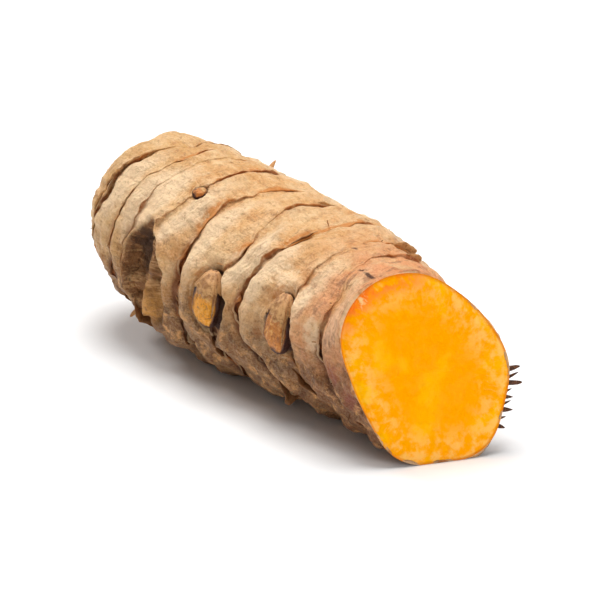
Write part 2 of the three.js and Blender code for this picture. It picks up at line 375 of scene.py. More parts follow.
# The stretches round the body, as middle and spread, where rings run through wide valleys, where painted
# shade browns the valleys, and where a painted highlight makes the shoulders past the rings pale.
VALLEY_SIDES = [(187, 50), (355, 45)]
SHADED_VALLEY_SIDES = [(198, 52), (345, 50)]
HIGHLIGHT_SHOULDER_SIDES = [(138, 31), (40, 28)]

# Rings that run through a wide valley, with its depth.
VALLEYS = [(3, 0.35), (4, 0.5), (5, 0.4), (6, 1.0), (7, 0.6), (8, 1.1), (9, 0.5), (10, 0.8)]

# Rubbed orange-brown stretches of scale edge: ring, angle, spread round, width.
STAINS = [
    (7, 137, 8, 1.0),
    (5, 96, 12, 0.5),
    (5, 78, 8, 0.8),
    (8, 112, 12, 1.3),
    (6, 84, 12, 0.8),
    (9, 70, 18, 0.7),
    (3, 100, 9, 0.6),
    (6, 128, 14, 0.8),
    (8, 84, 14, 1.0),
    (8, 290, 20, 1.0),
    (4, 20, 15, 1.0),
]


def overhang(k, angle):
    """How far the ragged scale edge of ring k hangs over the band ahead of it."""
    place = body(ring_x(k, angle), angle)
    ragged = 0.1 + 0.5 * noise3(place, 2.6, 40 + k) + 0.25 * noise3(place, 0.8, 60 + k)
    return RINGS[k][0] * np.clip(ragged, -0.3, 0.8)


def valleys(x, angle):
    """Depth of the wide valleys just past some rings, and the swelling that follows each."""
    total = 0.0
    for k, depth in VALLEYS:
        past = x - ring_x(k, angle)
        total = total + depth * (0.35 * bump(past - 3.4, 1.5) - bump(past - 0.4, 1.1))
    return total * on_sides(angle, VALLEY_SIDES)


def skin_row(k, f, angle, drop=0.0):
    """One row of the skin at share f of band k; drop lowers it, for the edge's thickness."""
    first = TIP_X + 0 * angle
    if k > 0:
        first = ring_x(k - 1, angle) - UNDERCUT * (1 - smooth(0.0, 0.06, f))
    last = ring_x(k, angle) if k < len(RINGS) else cut_x_at(angle)
    reach = f if k > 0 else 1 - np.cos(f * np.pi / 2)
    x = first + (last - first) * reach
    buds, left = bud_relief(x, angle)
    if k < len(RINGS):
        x = x + overhang(k, angle) * left * smooth(0.8, 1.0, f)
    height = (band_relief(k, f, angle) - drop + valleys(x, angle)) * left + buds
    height = height * smooth(TIP_X, TIP_X + CALM_TIP, x)
    return x, height, left


def tip_bud(points):
    """How far the small bud at the tip pushes points out, against X."""
    away = np.hypot(points[..., 1] - STATIONS[0, 1], points[..., 2] - STATIONS[0, 2])
    fade = 1 - smooth(TIP_X, TIP_X + TIP_BUD_DEPTH, points[..., 0])
    return TIP_BUD * bump(away, TIP_BUD_RADIUS) * fade


def grown_place(k, f, angle):
    """A place on an even cylinder, whose length follows the rings."""
    marks = [TIP_X] + [np.mean(ring[1]) for ring in RINGS] + [CUT_X]
    u = marks[k] + (marks[k + 1] - marks[k]) * f
    turn = np.radians(angle)
    return np.stack([u + 0 * turn, MEAN_RADIUS * np.cos(turn), MEAN_RADIUS * np.sin(turn)], -1)


def shrivel(place, grown):
    """Lumps, wrinkles both ways and creases that follow the rings, of the dried skin."""
    lumps = 0.36 * noise3(place, 5.0, 3) + 0.3 * noise3(place, 2.1, 5) + 0.1 * noise3(place, 1.0, 6)
    lengthwise = 0.1 * noise3(grown, (4.5, 0.8, 0.8), 7) + 0.05 * noise3(grown, (1.8, 0.45, 0.45), 9)
    crosswise = 0.08 * noise3(grown, (0.9, 4.5, 4.5), 13)
    crease = 1 - np.abs(noise3(grown, (1.7, 9.0, 9.0), 15)) * 7
    crease = np.clip(crease, 0, 1) * smooth(-0.1, 0.4, noise3(place, 4.0, 17))
    low = smooth(16.0, 8.0, place[..., 2])
    return lumps * (1 + 0.8 * low) + lengthwise + crosswise - 0.16 * crease * (1 + low)


def skin_rows():
    """The rows as (band, share, drop) from the tip to the cut."""
    rows = []
    for k in range(len(RINGS) + 1):
        low = TIP_X if k == 0 else RINGS[k - 1][1]
        high = CUT_X if k == len(RINGS) else RINGS[k][1]
        count = ROWS_EACH + int(ROWS_PER_MM * (np.mean(high) - np.mean(low)))
        skipped = 1 if k == 0 else 0
        u = (np.arange(count) + skipped) / (count + skipped)
        shares = u - END_CROWDING * np.sin(2 * np.pi * u) / (2 * np.pi)
        rows += [(k, share, 0.0) for share in shares]
        rows.append((k, 1.0, 0.0))
        if k < len(RINGS):
            rows.append((k, 1.0, EDGE_THICK))
    return rows


def shoulder_highlight_mask(x, angle):
    """The swelling at the start of each band, on the upper part of its sides, pale with a painted
    highlight.
    """
    swellings = sum(bump(x - ring_x(k, angle) - 2.6, 1.9) for k in range(2, len(RINGS)))
    return np.clip(swellings * on_sides(angle, HIGHLIGHT_SHOULDER_SIDES), 0, 1)


def valley_shade_mask(x, angle):
    """The bottom of the valleys, browned with painted shade, which runs on under the body."""
    bottoms = sum((0.4 + depth) * bump(x - ring_x(k, angle) - 0.35, 0.85) for k, depth in VALLEYS)
    return bottoms * on_sides(angle, SHADED_VALLEY_SIDES)


def scar_masks(x, angle):
    """Shares: corky scar; pit, edge and groove, dark with cork and painted shade; the pale lump at its
    foot.
    """
    lengthwise, up, ragged, side = scar_place(x, angle)
    pit = bump(np.hypot(lengthwise + 0.32, (up - 0.36) / 1.5), 0.42)
    edge = 0.45 * bump(ragged - 0.88, 0.08)
    groove = bump(ragged - 0.94, 0.06) * smooth(0.1, 0.6, side)
    lump = bump(np.hypot((lengthwise - 0.22) / 1.1, up + 0.52), 0.36)
    # Dark cork and painted shade in the pit, edge and groove.
    dark = np.maximum(np.maximum(pit, edge) * (1 - lump), groove)
    return [1 - smooth(0.94, 1.0, ragged), dark, lump]


def bud_rim(x, angle):
    """The pale edge of the skin round each bud: a painted highlight on its raised rim."""
    return sum(bump(bud_reach(bud, x, angle)[0] - 1.22, 0.08) for bud in BUDS if bud is not SCAR)


def moat_mask(x, angle):
    """The slit round a bud, dark with painted shade and maroon, darkest towards the cut."""
    mask = 0.0 * x
    for bud in BUDS:
        if bud is not SCAR:
            q, side = bud_reach(bud, x, angle)
            slit = smooth(0.5, 0.7, q) * smooth(1.12, 0.92, q)
            mask = np.maximum(mask, slit * (0.6 + 0.4 * smooth(-0.5, 0.4, side)))
    return mask


def put_in_scene(name, data):
    """A new object with its mesh, light or camera, at the origin."""
    thing = bpy.data.objects.new(name, data)
    bpy.context.scene.collection.objects.link(thing)
    return thing


def add_values(mesh, label, values, kind="FLOAT", part="value"):
    layer = mesh.attributes.new(label, kind, "POINT")
    layer.data.foreach_set(part, np.asarray(values, np.float32).ravel())


def shade_smooth(mesh):
    mesh.polygons.foreach_set("use_smooth", [True] * len(mesh.polygons))


def new_mesh_object(name, points, faces, masks):
    """A smooth-shaded object at the origin from points in the body's millimetres."""
    mesh = bpy.data.meshes.new(name)
    mesh.from_pydata(((points - CENTRE) * MM).tolist(), [], faces)
    for label, values in masks.items():
        add_values(mesh, label, values)
    shade_smooth(mesh)
    mesh.update()
    return put_in_scene(name, mesh)


def add_thickness(piece, thickness, offset):
    thick = piece.modifiers.new("thickness", "SOLIDIFY")
    thick.thickness = thickness * MM
    thick.offset = offset


def keep_in_box(points, margin=0.0):
    """Holds small relief inside the solid's own box."""
    low, high = (np.array(corner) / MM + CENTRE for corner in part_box(NODE))
    return np.clip(points, low + margin, high - margin)


def grid_faces(rows, columns, first=0, closed=True):
    """Quads between rows that run round the body, or between open ones; faces outwards."""
    faces = []
    for i in range(rows - 1):
        a, b = first + i * columns, first + (i + 1) * columns
        faces += [(a + j, a + (j + 1) % columns, b + (j + 1) % columns, b + j)
                  for j in range(columns if closed else columns - 1)]
    return faces


def band_distances(k, f, angle):
    """How far, in millimetres, a row is past the ring behind it and before the one ahead."""
    first = ring_x(k - 1, angle) if k > 0 else TIP_X - 5 + 0 * angle
    last = ring_x(k, angle) if k < len(RINGS) else cut_x_at(angle) + 5
    return (last - first) * f, (last - first) * (1 - f)


MASKS = ("crevice", "lip", "valley", "shoulder", "stain", "scar", "pit", "lump", "moat")


def skin_masks(k, f, drop, x, angle, left):
    """The shares that the finish of the skin reads, for one row, in the order of MASKS."""
    into, before = band_distances(k, f, angle)
    # The groove's painted shade widens low down.
    wide = CREVICE_WIDE * (1 + 1.4 * smooth(17.0, 9.0, body(x, angle)[:, 2]))
    crevice = wear(k, angle)
    if drop == 0:
        crevice = wear(k - 1, angle) * (1 - smooth(0.0, wide, into))
    lip = wear(k, angle) * (1 - smooth(0.0, LIP_WIDE, before)) * left
    stain = sum(round_bump(angle, at, spread) * bump(before, reach)
                for ring, at, spread, reach in STAINS if ring == k)
    return [crevice * left + 0 * x, np.maximum(lip, bud_rim(x, angle)), valley_shade_mask(x, angle) * left,
            shoulder_highlight_mask(x, angle) * left, stain * left + 0 * x,
            *scar_masks(x, angle), moat_mask(x, angle)]


def make_skin():
    """The skin's mesh, row by row from the tip, and the rim that the cut face starts on."""
    angle = np.arange(COLUMNS) * 360.0 / COLUMNS
    angle = angle - np.degrees(COLUMN_CROWDING * np.sin(2 * np.radians(angle)) / 2)
    points, grown, masks = [], [], []
    for k, f, drop in skin_rows():
        x, height, left = skin_row(k, f, angle, drop)
        last = k == len(RINGS) and f == 1.0
        grown.append(grown_place(k, f, angle))
        masks.append(skin_masks(k, f, drop, x, angle, left))
        place = body(x, angle)
        if not last:
            calm = smooth(TIP_X, TIP_X + CALM_TIP, x)
            out = height + shrivel(place, grown[-1]) * calm
            place = place + body_normal(x, angle) * out[:, None]
        place[:, 0] -= tip_bud(place)
        place[:, 2] = np.maximum(place[:, 2], 0)
        if last:
            place[:, 0] = cut_x(place[:, 1], place[:, 2])
        points.append(place)
    rows = len(points)
    pole = body(*one_place(TIP_X, 0))
    pole[:, 0] -= tip_bud(pole)
    faces = grid_faces(rows, COLUMNS)
    faces += [(rows * COLUMNS, (j + 1) % COLUMNS, j) for j in range(COLUMNS)]
    flat = {label: np.append(np.concatenate(values), 0.0) for label, values in zip(MASKS, zip(*masks))}
    piece = new_mesh_object("rhizome_skin", keep_in_box(np.concatenate(points + [pole])), faces, flat)
    grown = np.concatenate(grown + [np.array([[TIP_X, 0.0, 0.0]])])
    add_values(piece.data, "grown", grown, "FLOAT_VECTOR", "vector")
    return piece, keep_in_box(points[-1])


# The cut face: a polar grid that starts on the skin's rim, domed and sunk at its edge.
FLESH_RINGS = 70
FLESH_CROWDING = 1.15
FLESH_DOME = 0.25
FLESH_SINK = 0.12


def make_flesh(rim):
    """The cut face; depth is the distance in from the skin, for its finish."""
    middle = np.array([CUT_X, 0.0, CUT_AXIS_Z])
    tilt, facing = math.radians(CUT_TILT), math.radians(CUT_FACING)
    normal = np.array([math.cos(tilt), math.sin(tilt) * math.cos(facing),
                       math.sin(tilt) * math.sin(facing)])
    points, share = [], []
    for i in range(FLESH_RINGS):
        inwards = (i / FLESH_RINGS)**FLESH_CROWDING
        row = rim + (middle - rim) * inwards
        depth = np.linalg.norm(row - rim, axis=1)
        dome = FLESH_DOME * smooth(0.0, 1.6, depth) - FLESH_SINK * bump(depth - 0.35, 0.25) * (i > 0)
        fibres = 0.05 * noise3(row, 0.9, 21) * smooth(0.1, 1.0, depth) + 0.025 * noise3(row, 0.35, 22)
        points.append(row + normal * (dome + fibres * (i > 0))[:, None])
        share.append(depth)
    points.append((middle + normal * FLESH_DOME)[None])
    depth = np.append(np.concatenate(share), MEAN_RADIUS)
    faces = grid_faces(FLESH_RINGS, COLUMNS)
    last = (FLESH_RINGS - 1) * COLUMNS
    faces += [(last + j, last + (j + 1) % COLUMNS, FLESH_RINGS * COLUMNS) for j in range(COLUMNS)]
    return new_mesh_object("cut_flesh", keep_in_box(np.concatenate(points)), faces, {"depth": depth})


# Side buds: a folded pod under a torn sheath, set in each moat.
POD_ROWS = 48
POD_COLUMNS = 64
POD_ENDS = 0.02
POD_WIDE = 0.8
POD_LONG = 0.9
POD_PROUD = 0.25
SHEATH_ROWS = 26
SHEATH_THICK = 0.09
SMALLEST_SHEATHED = 2


def bud_frame(bud):
    """Middle of a bud on the body, and the ways to the cut, up the bud and outwards."""
    x, at = one_place(bud.x - 0.12 * bud.long, bud.angle)
    to_cut = (body(x + 0.05, at) - body(x - 0.05, at))[0]
    up = (body(x, at - 0.5) - body(x, at + 0.5))[0] * np.sign(-np.cos(np.radians(bud.angle)))
    return body(x, at)[0], to_cut / np.linalg.norm(to_cut), up / np.linalg.norm(up), body_normal(x, at)[0]


def facing_out(bud, faces):
    """Turns the faces over for buds on the far side, where up runs the other way round."""
    return faces if np.cos(np.radians(bud.angle)) < 0 else [face[::-1] for face in faces]


def blunted(wave, power):
    """A wave from -1 to 1 with its sign kept and its size raised to a power."""
    return np.sign(wave) * np.abs(wave)**power


def pod_points(bud, s, t, grow_by):
    """Surface of a pod: s from its foot (-1) to its top (1), t round its long middle line."""
    middle, to_cut, up, out = bud_frame(bud)
    wide = POD_WIDE * bud.long + grow_by
    long = POD_LONG * bud.round + grow_by
    high = bud.rise + POD_PROUD + grow_by
    girth = np.sqrt(np.maximum(1 - s * s, 0))**1.05
    foot = 0.3 * smooth(0.1, -0.7, s)
    folds = 1 + 0.04 * np.cos(9 * t + 3 * s) + 0.03 * np.cos(17 * t - 5 * s)
    across = blunted(np.cos(t), 0.95)
    rise = blunted(np.sin(t), 0.9)
    sideways = wide * girth * folds * (1 - 0.14 * s) * across + 0.1 * bud.long * s
    upwards = long * s
    outwards = (high + foot) * girth * folds * (1 + 0.15 * across) * rise
    outwards = outwards - upwards**2 / (2 * MEAN_RADIUS) - 0.2
    points = middle + sideways[..., None] * to_cut + upwards[..., None] * up + outwards[..., None] * out
    grain = 0.14 * noise3(points, 1.3, 51) + 0.06 * noise3(points, 0.5, 52)
    return points + grain[..., None] * out


def make_pods():
    """The pods; wall marks each one's cut side, foot and far side for painted shade and maroon, brown its
    colour.
    """
    points, faces, tone, wall, brown = [], [], [], [], []
    s, t = np.meshgrid(-np.cos(np.linspace(POD_ENDS, np.pi - POD_ENDS, POD_ROWS)),
                       np.arange(POD_COLUMNS) * 2 * np.pi / POD_COLUMNS, indexing="ij")
    signed = (t + np.pi) % (2 * np.pi) - np.pi
    edge = 0.2 - 0.22 * s + 0.05 * np.sin(5 * s)
    # Where each pod gets painted shade: its cut side, its foot and its far side.
    cut_side = smooth(edge + 0.16, edge - 0.12, signed) * smooth(0.75, 0.4, s)
    foot = smooth(-0.62, -0.86, s + 0.12 * np.cos(signed))
    far_side = 0.9 * smooth(1.7, 2.4, np.abs(signed))
    for bud in BUDS:
        if bud is not SCAR:
            faces += facing_out(bud, grid_faces(POD_ROWS, POD_COLUMNS, len(points)))
            points += list(pod_points(bud, s, t, 0.0).reshape(-1, 3))
            tone += list(((1 - s) / 2).ravel())
            wall += list(np.maximum(np.maximum(cut_side, foot), far_side).ravel())
            brown += [1.0 if bud.kind == "brown" else 0.0] * s.size
    return new_mesh_object("side_buds", keep_in_box(np.array(points)), faces,
                           {"tone": tone, "wall": wall, "brown": brown})


def make_sheaths():
    """A hood over the top of each pod that runs down its cut side as a thin torn edge."""
    points, faces, edge = [], [], []
    t = np.linspace(-0.7, np.pi + 0.2, POD_COLUMNS)
    share = np.linspace(0, 1, SHEATH_ROWS)[:, None]
    for index, bud in enumerate(BUDS):
        if bud is SCAR or bud.long < SMALLEST_SHEATHED:
            continue
        low = 0.3 - 0.95 * bump(t - 0.24, 0.09)
        low = low + 0.1 * np.sin(3.3 * t + index) + 0.05 * np.sin(11 * t)
        s = 0.97 + (np.clip(low, -0.7, 0.7) - 0.97) * share
        lifted = 0.05 + 0.12 * share**3 + 0 * s
        strip = grid_faces(SHEATH_ROWS, POD_COLUMNS, len(points), closed=False)
        faces += facing_out(bud, [(a, d, c, b) for a, b, c, d in strip])
        points += list(pod_points(bud, s, t + 0.12 * (0.97 - s), lifted).reshape(-1, 3))
        edge += list((share + 0 * s).ravel())
    points = keep_in_box(np.array(points), SHEATH_THICK)
    piece = new_mesh_object("bud_sheaths", points, faces, {"tear": edge})
    add_thickness(piece, SHEATH_THICK, 0.0)
    return piece


# Dry scale remnants: thin ragged flaps that stand off the lips of the rings.
# Each is ring, angle from, angle to, length, how far it lifts.
FLAPS = [
    (2, 112, 168, 1.5, 0.9),
    (2, 20, 70, 1.0, 0.5),
    (2, 300, 335, 1.2, 0.6),
    (3, 215, 238, 0.9, 0.5),
    (3, 338, 350, 0.9, 0.4),
    (5, 140, 158, 0.9, 0.5),
    (5, 205, 232, 1.3, 0.9),
    (6, 304, 334, 1.5, 0.9),
    (6, 204, 222, 1.0, 0.5),
    (7, 58, 80, 0.8, 0.4),
    (8, 210, 231, 1.9, 1.5),
    (4, 206, 226, 1.0, 0.6),
    (7, 198, 216, 1.1, 0.6),
    (9, 196, 222, 1.1, 0.7),
    (8, 100, 124, 0.7, 0.3),
    (8, 318, 342, 1.3, 0.7),
    (9, 46, 68, 1.2, 0.7),
    (10, 56, 72, 0.7, 0.4),
    (10, 196, 214, 0.9, 0.5),
    (1, 60, 120, 0.8, 0.4),
    (1, 240, 290, 0.9, 0.3),
]
FLAP_ROWS = 7
FLAP_STEP = 0.9
FLAP_THICK = 0.12
FLAP_STARTS = 0.93


def make_flaps():
    """Curled strips that start just behind a ring's lip and lift towards the cut."""
    points, faces, share = [], [], []
    for index, (k, start, end, length, lift) in enumerate(FLAPS):
        count = int((end - start) / FLAP_STEP) + 8
        angle, even = np.linspace(start, end, count), np.linspace(0, 1, count)
        x, height, _ = skin_row(k, FLAP_STARTS, angle)
        root = body(x, angle)
        normal = body_normal(x, angle)
        across = smooth(0.0, 0.25, even) * smooth(1.0, 0.7, even)
        torn = 0.7 + 0.35 * noise3(root, 1.4, 80 + index) + 0.25 * noise3(root, 0.5, 90 + index)
        reach = length * across * np.clip(torn, 0.15, 1.3)
        curl = lift * across * (1 + 0.5 * noise3(root, 2.0, 70 + index))
        faces += grid_faces(FLAP_ROWS, count, len(points), closed=False)
        for row in range(FLAP_ROWS):
            t = row / (FLAP_ROWS - 1)
            out = height - 0.12 + 0.1 * t + curl * t**1.6 + 0.06 * noise3(root + t * 3, 0.8, 75 + index)
            place = root + normal * out[:, None]
            place[:, 0] += reach * (t - 0.18 * t * t * curl)
            points += list(place)
            share += [t] * count
    points = np.array(points)
    points[:, 2] = np.maximum(points[:, 2], FLAP_THICK)
    piece = new_mesh_object("scale_remnants", keep_in_box(points), faces, {"tear": share})
    add_thickness(piece, FLAP_THICK, -1.0)
    return piece


# Node trees and shader maths

class Value:
    """A number socket that sums, products and powers can be written with."""

    def __init__(self, finish, socket):
        self.finish = finish
        self.socket = socket

    def maths(self, operation, first, second):
        node = self.finish.node("ShaderNodeMath", {"operation": operation}, {0: first, 1: second})
        return Value(self.finish, node.outputs[0])

    def __add__(self, other):
        return self.maths("ADD", self, other)

    def __sub__(self, other):
        return self.maths("SUBTRACT", self, other)

    def __mul__(self, other):
        return self.maths("MULTIPLY", self, other)

    def __pow__(self, other):
        return self.maths("POWER", self, other)

    def __rsub__(self, other):
        return self.maths("SUBTRACT", other, self)

    __radd__ = __add__
    __rmul__ = __mul__


class Nodes:
    """A node tree, and the one way in which nodes are put into it."""

    def __init__(self, tree):
        self.tree = tree

    def node(self, kind, settings=None, sockets=None):
        """Any node: its settings first, then the values or links of its sockets."""
        node = self.tree.nodes.new(kind)
        for key, value in (settings or {}).items():
            setattr(node, key, value)
        for key, value in (sockets or {}).items():
            value = value.socket if isinstance(value, Value) else value
            if isinstance(value, bpy.types.NodeSocket):
                self.tree.links.new(value, node.inputs[key])
            else:
                node.inputs[key].default_value = value
        return node


class Finish(Nodes):
    """One material and the few kinds of node that it is built from."""

    def __init__(self, name):
        self.material = bpy.data.materials.new(name)
        self.material.use_nodes = True
        super().__init__(self.material.node_tree)
        self.tree.nodes.clear()
        self.place = self.node("ShaderNodeTexCoord").outputs["Object"]

    def mask(self, name):
        node = self.node("ShaderNodeAttribute", {"attribute_name": name})
        return Value(self, node.outputs["Fac"])

    def axis(self, name):
        """A coordinate of the piece, in millimetres."""
        node = self.node("ShaderNodeSeparateXYZ", None, {0: self.place})
        return Value(self, node.outputs[name]) * (1 / MM)

    def spread_noise(self, place, stretch, shift, scale, detail, roughness, kind="FBM"):
        where = self.node("ShaderNodeMapping", None, {
            0: place, "Location": (shift, shift, shift), "Scale": stretch})
        node = self.node("ShaderNodeTexNoise", {"noise_type": kind}, {
            "Vector": where.outputs[0], "Scale": scale, "Detail": detail, "Roughness": roughness})
        return Value(self, node.outputs["Fac"])

    def noise(self, size, detail=3.0, roughness=0.55, shift=0.0):
        """Noise whose lumps are about size millimetres."""
        return self.spread_noise(self.place, (1, 1, 1), shift, 1 / MM / size, detail, roughness)

    def grown_noise(self, lengthwise, crosswise, detail=3.0, roughness=0.6, shift=0.0, kind="FBM"):
        """Noise that follows the rings: its size along the root and round it, in millimetres."""
        grown = self.node("ShaderNodeAttribute", {"attribute_name": "grown"}).outputs["Vector"]
        stretch = (1.0 / lengthwise, 1.0 / crosswise, 1.0 / crosswise)
        return self.spread_noise(grown, stretch, shift, 1.0, detail, roughness, kind)

    def near(self, x, angle, reach, wiggle=0.0):
        """1 at a place on the body, falling to 0 at reach (mm along each axis) from it."""
        middle = (body(*one_place(x, angle))[0] - CENTRE) * MM
        length = self.place
        for operation, other in (("SUBTRACT", middle), ("DIVIDE", [part * MM for part in reach])):
            settings = {"operation": operation}
            length = self.node("ShaderNodeVectorMath", settings, {0: length, 1: tuple(other)}).outputs[0]
        length = self.node("ShaderNodeVectorMath", {"operation": "LENGTH"}, {0: length})
        wiggles = (self.noise(0.8, 2.0, shift=13.0) - 0.5) * wiggle
        return self.ramp(Value(self, length.outputs["Value"]) + wiggles, 1.05, 0.45)

    def ramp(self, value, low, high, to_low=0.0, to_high=1.0):
        """Smooth step of a number from low to high."""
        node = self.node("ShaderNodeMapRange", {"interpolation_type": "SMOOTHSTEP"}, {
            "Value": value, "From Min": low, "From Max": high, "To Min": to_low, "To Max": to_high})
        return Value(self, node.outputs[0])

    def patches(self, size, detail, roughness, shift, low, high):
        """Soft-edged patches of noise: 0 where it is low, 1 where it is high."""
        return self.ramp(self.noise(size, detail, roughness, shift), low, high)

    def mix(self, base, top, share, blend="MIX"):
        """Colour top over colour base by share."""
        settings = {"data_type": "RGBA", "blend_type": blend}
        node = self.node("ShaderNodeMix", settings, {0: share, 6: base, 7: top})
        return node.outputs[2]

    def layers(self, colour, rows):
        """Lays the colour of each row over what is below it, by the row's share."""
        for top, share in rows:
            colour = self.mix(colour, top, share)
        return colour

    def finish(self, colour, roughness, height, fixed, bump_distance):
        """The surface shader, with constants set on its own sockets."""
        bump_node = self.node("ShaderNodeBump", None, {
            "Strength": 1.0, "Distance": bump_distance * MM, "Height": height})
        surface = self.node("ShaderNodeBsdfPrincipled", None, {
            "Base Color": colour, "Roughness": roughness, "Normal": bump_node.outputs[0], **fixed})
        self.node("ShaderNodeOutputMaterial", None, {"Surface": surface.outputs[0]})
        return self.material


# Rootlet stubs as the solid has them, and fine root hairs along the rings: x, angle,
# length, radius.
STUBS = [
    (31.0, 352, 1.4, 0.5),
    (31.3, 343, 1.7, 0.5),
    (31.5, 333, 1.1, 0.45),
    (31.7, 324, 1.4, 0.5),
    (31.8, 314, 1.2, 0.45),
    (15.4, 318, 1.2, 0.5),
    (1.4, 30, 1.0, 0.5),
    (-9.0, 312, 1.2, 0.5),
    (-21.0, 40, 1.1, 0.5),
    (-24.4, 226, 1.0, 0.5),
    (-34.0, 250, 1.3, 0.5),
    (-35.0, 20, 1.1, 0.45),
]
STUB_ROOT = 0.5
# The strands of a stub: lean, share of its radius. Only stubs beside the cut have both.
STRANDS = [((0.0, 0.0, 0.1), 0.8), ((0.3, 0.1, 0.7), 0.5)]
FRAYED_FROM_X = 31.2
HAIRS = 60
HAIR_SEED = 11
HAIR_STARTS = 0.96
HAIR_LENGTH = 0.8
HAIR_RADIUS = 0.035
LOWEST_HAIR = 1.6

# The inputs of the tree that makes them: name, kind, value unless another is given.
ROOTLET_INPUTS = [
    ("Feet", "Geometry", None),
    ("Bend", "Float", 0.35),
    ("Steps", "Int", 7),
    ("Sides", "Int", 9),
    ("Tip share", "Float", 0.5),
    ("Seed", "Int", 4),
    ("Finish", "Material", None),
]


def rootlet_tree():
    """Geometry Nodes: a bent tapered peg on each point, aimed along the point's aim."""
    tree = bpy.data.node_groups.new("rootlets", "GeometryNodeTree")
    sizes = {}
    for label, kind, value in ROOTLET_INPUTS:
        socket = tree.interface.new_socket(label, in_out="INPUT", socket_type="NodeSocket" + kind)
        if value is not None:
            socket.default_value = value
        sizes[label] = socket.identifier
    tree.interface.new_socket("Rootlets", in_out="OUTPUT", socket_type="NodeSocketGeometry")
    nodes = Nodes(tree)
    given = nodes.node("NodeGroupInput").outputs

    end = nodes.node("ShaderNodeCombineXYZ", None, {"X": given["Bend"], "Z": 1.0})
    stem = nodes.node("GeometryNodeCurveQuadraticBezier", None, {
        "Resolution": given["Steps"], "Start": (0, 0, 0), "Middle": (0, 0, 0.6), "End": end.outputs[0]})
    section = nodes.node("GeometryNodeCurvePrimitiveCircle", None, {
        "Resolution": given["Sides"], "Radius": 1.0})
    place = nodes.node("GeometryNodeSplineParameter")
    taper = nodes.node("ShaderNodeMapRange", None, {
        "Value": place.outputs["Factor"], "To Min": 1.0, "To Max": given["Tip share"]})
    sweep = nodes.node("GeometryNodeCurveToMesh", None, {
        "Curve": stem.outputs["Curve"], "Profile Curve": section.outputs["Curve"],
        "Scale": taper.outputs["Result"], "Fill Caps": True})

    vectors = {"data_type": "FLOAT_VECTOR"}
    aim = nodes.node("GeometryNodeInputNamedAttribute", vectors, {"Name": "aim"})
    size = nodes.node("GeometryNodeInputNamedAttribute", vectors, {"Name": "size"})
    turn = nodes.node("FunctionNodeAlignRotationToVector", {"axis": "Z"}, {
        "Vector": aim.outputs["Attribute"]})
    spin = nodes.node("FunctionNodeRandomValue", {"data_type": "FLOAT"}, {
        3: 2 * math.pi, "Seed": given["Seed"]})
    roll = nodes.node("FunctionNodeAxisAngleToRotation", None, {
        "Axis": (0, 0, 1), "Angle": spin.outputs[1]})
    rotate = nodes.node("FunctionNodeRotateRotation", {"rotation_space": "LOCAL"}, {
        "Rotation": turn.outputs[0], "Rotate By": roll.outputs[0]})
    copies = nodes.node("GeometryNodeInstanceOnPoints", None, {
        "Points": given["Feet"], "Instance": sweep.outputs["Mesh"],
        "Rotation": rotate.outputs[0], "Scale": size.outputs["Attribute"]})
    real = nodes.node("GeometryNodeRealizeInstances", None, {"Geometry": copies.outputs["Instances"]})
    coat = nodes.node("GeometryNodeSetMaterial", None, {
        "Geometry": real.outputs["Geometry"], "Material": given["Finish"]})
    nodes.node("NodeGroupOutput", None, {"Rootlets": coat.outputs["Geometry"]})
    return tree, sizes


def grow(name, tree, identifiers, pegs, values):
    """Runs the tree on (foot, aim, size) pegs and returns a plain mesh object."""
    feet, aims, sizes = zip(*pegs)
    points = bpy.data.meshes.new(name + "_feet")
    points.from_pydata(((np.array(feet) - CENTRE) * MM).tolist(), [], [])
    aims = [aim / np.linalg.norm(aim) for aim in aims]
    for label, rows in (("aim", aims), ("size", np.array(sizes) * MM)):
        add_values(points, label, rows, "FLOAT_VECTOR", "vector")
    carrier = put_in_scene(name + "_feet", points)
    modifier = carrier.modifiers.new("grow", "NODES")
    modifier.node_group = tree
    for label, value in values.items():
        modifier[identifiers[label]] = value
    graph = bpy.context.evaluated_depsgraph_get()
    mesh = bpy.data.meshes.new_from_object(carrier.evaluated_get(graph))
    mesh.name = name
    shade_smooth(mesh)
    bpy.data.objects.remove(carrier)
    return put_in_scene(name, mesh)


def make_stubs(tree, identifiers, finish):
    pegs = []
    for x, at, length, radius in STUBS:
        strands = STRANDS if x > FRAYED_FROM_X else STRANDS[:1]
        x, at = one_place(x, at)
        normal = body_normal(x, at)[0]
        for strand, (lean, share) in enumerate(strands):
            foot = body(x, at + 1.5 * strand)[0] - normal * STUB_ROOT
            size = (radius * share, radius * share, length * (1.0 - 0.35 * strand) + STUB_ROOT)
            pegs.append((foot, normal + np.array(lean), size))
    return grow("rootlet_stubs", tree, identifiers, pegs,
                {"Bend": 0.6, "Tip share": 0.7, "Seed": 5, "Finish": finish})


def make_hairs(tree, identifiers, finish):
    draw = np.random.default_rng(HAIR_SEED)
    pegs = []
    for _ in range(HAIRS):
        k = int(draw.integers(1, len(RINGS)))
        at = np.array([draw.uniform(0, 360)])
        length = HAIR_LENGTH * draw.uniform(0.5, 1.3)
        lean = draw.uniform(-0.8, 0.8, 3)
        x, height, left = skin_row(k, HAIR_STARTS, at)
        place = body(x, at)[0]
        if left[0] < 0.9 or place[2] < LOWEST_HAIR:
            continue
        normal = body_normal(x, at)[0]
        pegs.append((place + normal * (height[0] - 0.1), normal + np.array([1.0, 0, 0]) + lean,
                     (HAIR_RADIUS, HAIR_RADIUS, length)))
    return grow("root_hairs", tree, identifiers, pegs,
                {"Bend": 5.0, "Steps": 6, "Sides": 5, "Tip share": 0.3, "Seed": 9, "Finish": finish})


# Colours, as they are on a screen

def shade(red, green, blue):
    """Linear colour from screen values of 0 to 255."""
    def linear(value):
        value /= 255.0
        return value / 12.92 if value <= 0.04045 else ((value + 0.055) / 1.055)**2.4
    return (linear(red), linear(green), linear(blue), 1.0)


